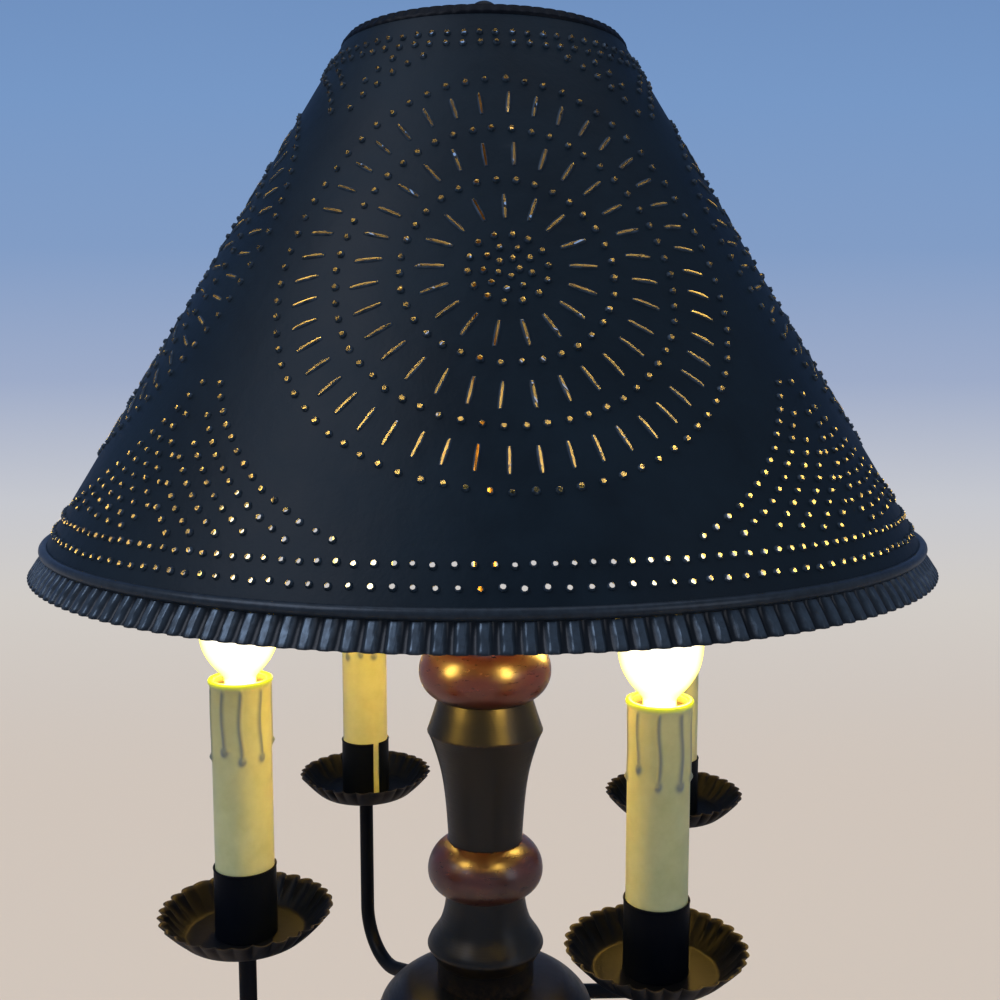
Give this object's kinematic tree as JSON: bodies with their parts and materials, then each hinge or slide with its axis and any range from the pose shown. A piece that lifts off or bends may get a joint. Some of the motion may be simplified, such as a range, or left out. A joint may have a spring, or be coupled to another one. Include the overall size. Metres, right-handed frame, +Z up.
{
  "type": "table lamp",
  "caption": "Turned wooden table lamp with curved candle arms, drip pans and lit candle bulbs under a pierced tin cone shade.",
  "frame": {"origin": "on the table, under the middle of the foot and of the shade", "axes": "+Z up along the column, -Y towards the switch knob in the foot, +X to the right of it"},
  "size_m": [0.381, 0.381, 0.5724],
  "materials": {
    "felt": "matt felt",
    "plate_steel": "black enamel",
    "black_wood": "satin black paint",
    "red_wood": "satin barn red paint",
    "pipe_brass": "aged brass",
    "steel": "zinc plated",
    "black_tin": "satin black paint on tin",
    "cover_ivory": "ivory wax look",
    "socket_black": "moulded phenolic",
    "wire_black": "insulated wire",
    "cap_brass": "rolled brass",
    "bulb_frost": "frosted glass",
    "knob_black": "moulded, ribbed"
  },
  "bodies": {
    "root": {"base_pad": "felt", "bottom_plate": "plate_steel", "plate_screws": "steel", "foot": "black_wood", "foot_bead": "red_wood", "pedestal": "black_wood", "ball_body": "black_wood", "skirt_turning": "black_wood", "lower_bead": "red_wood", "vase_turning": "black_wood", "upper_bead": "red_wood", "column_cap": "black_wood", "riser_pipe": "pipe_brass", "pipe_washers": "steel", "pipe_nuts": "steel", "arm_nuts": "steel", "socket_stems": "steel", "socket_bodies": "socket_black", "screw_shells": "cap_brass", "socket_contacts": "cap_brass", "arm_wires": "wire_black", "wire_splice": "steel", "switch_lead": "wire_black", "switch_body": "socket_black", "switch_nut": "steel", "cord_bushing": "knob_black", "shade_seat": "pipe_brass", "arm_tube_1": "black_tin", "drip_pan_1": "black_tin", "candle_cup_1": "black_tin", "candle_cover_1": "cover_ivory", "arm_tube_2": "black_tin", "drip_pan_2": "black_tin", "candle_cup_2": "black_tin", "candle_cover_2": "cover_ivory", "arm_tube_3": "black_tin", "drip_pan_3": "black_tin", "candle_cup_3": "black_tin", "candle_cover_3": "cover_ivory", "arm_tube_4": "black_tin", "drip_pan_4": "black_tin", "candle_cup_4": "black_tin", "candle_cover_4": "cover_ivory"},
    "shade": {"shade_cone": "black_tin", "shade_bead": "black_tin", "shade_flange": "black_tin", "shade_crown": "black_tin", "shade_spider": "steel"},
    "finial": {"finial": "black_tin"},
    "switch_knob": {"switch_shaft": "steel", "switch_knob": "knob_black"},
    "bulb_1": {"bulb_base_1": "cap_brass", "bulb_glass_1": "bulb_frost"},
    "bulb_2": {"bulb_base_2": "cap_brass", "bulb_glass_2": "bulb_frost"},
    "bulb_3": {"bulb_base_3": "cap_brass", "bulb_glass_3": "bulb_frost"},
    "bulb_4": {"bulb_base_4": "cap_brass", "bulb_glass_4": "bulb_frost"}
  },
  "joints": [
    {"name": "shade_turn", "type": "hinge", "parent": "root", "child": "shade", "pos_m": [0, 0, 0.5418], "axis": [0, 0, 1], "continuous": true},
    {"name": "finial_turn", "type": "hinge", "parent": "root", "child": "finial", "pos_m": [0, 0, 0.5468], "axis": [0, 0, 1], "continuous": true},
    {"name": "bulb_turn_1", "type": "hinge", "parent": "root", "child": "bulb_1", "pos_m": [0.08245, 0.08245, 0.2931], "axis": [0, 0, 1], "continuous": true},
    {"name": "bulb_turn_2", "type": "hinge", "parent": "root", "child": "bulb_2", "pos_m": [-0.08245, 0.08245, 0.2931], "axis": [0, 0, 1], "continuous": true},
    {"name": "bulb_turn_3", "type": "hinge", "parent": "root", "child": "bulb_3", "pos_m": [-0.08245, -0.08245, 0.2931], "axis": [0, 0, 1], "continuous": true},
    {"name": "bulb_turn_4", "type": "hinge", "parent": "root", "child": "bulb_4", "pos_m": [0.08245, -0.08245, 0.2931], "axis": [0, 0, 1], "continuous": true},
    {"name": "switch_turn", "type": "hinge", "parent": "root", "child": "switch_knob", "pos_m": [0, -0.09, 0.015], "axis": [0, -1, 0], "continuous": true}
  ]
}
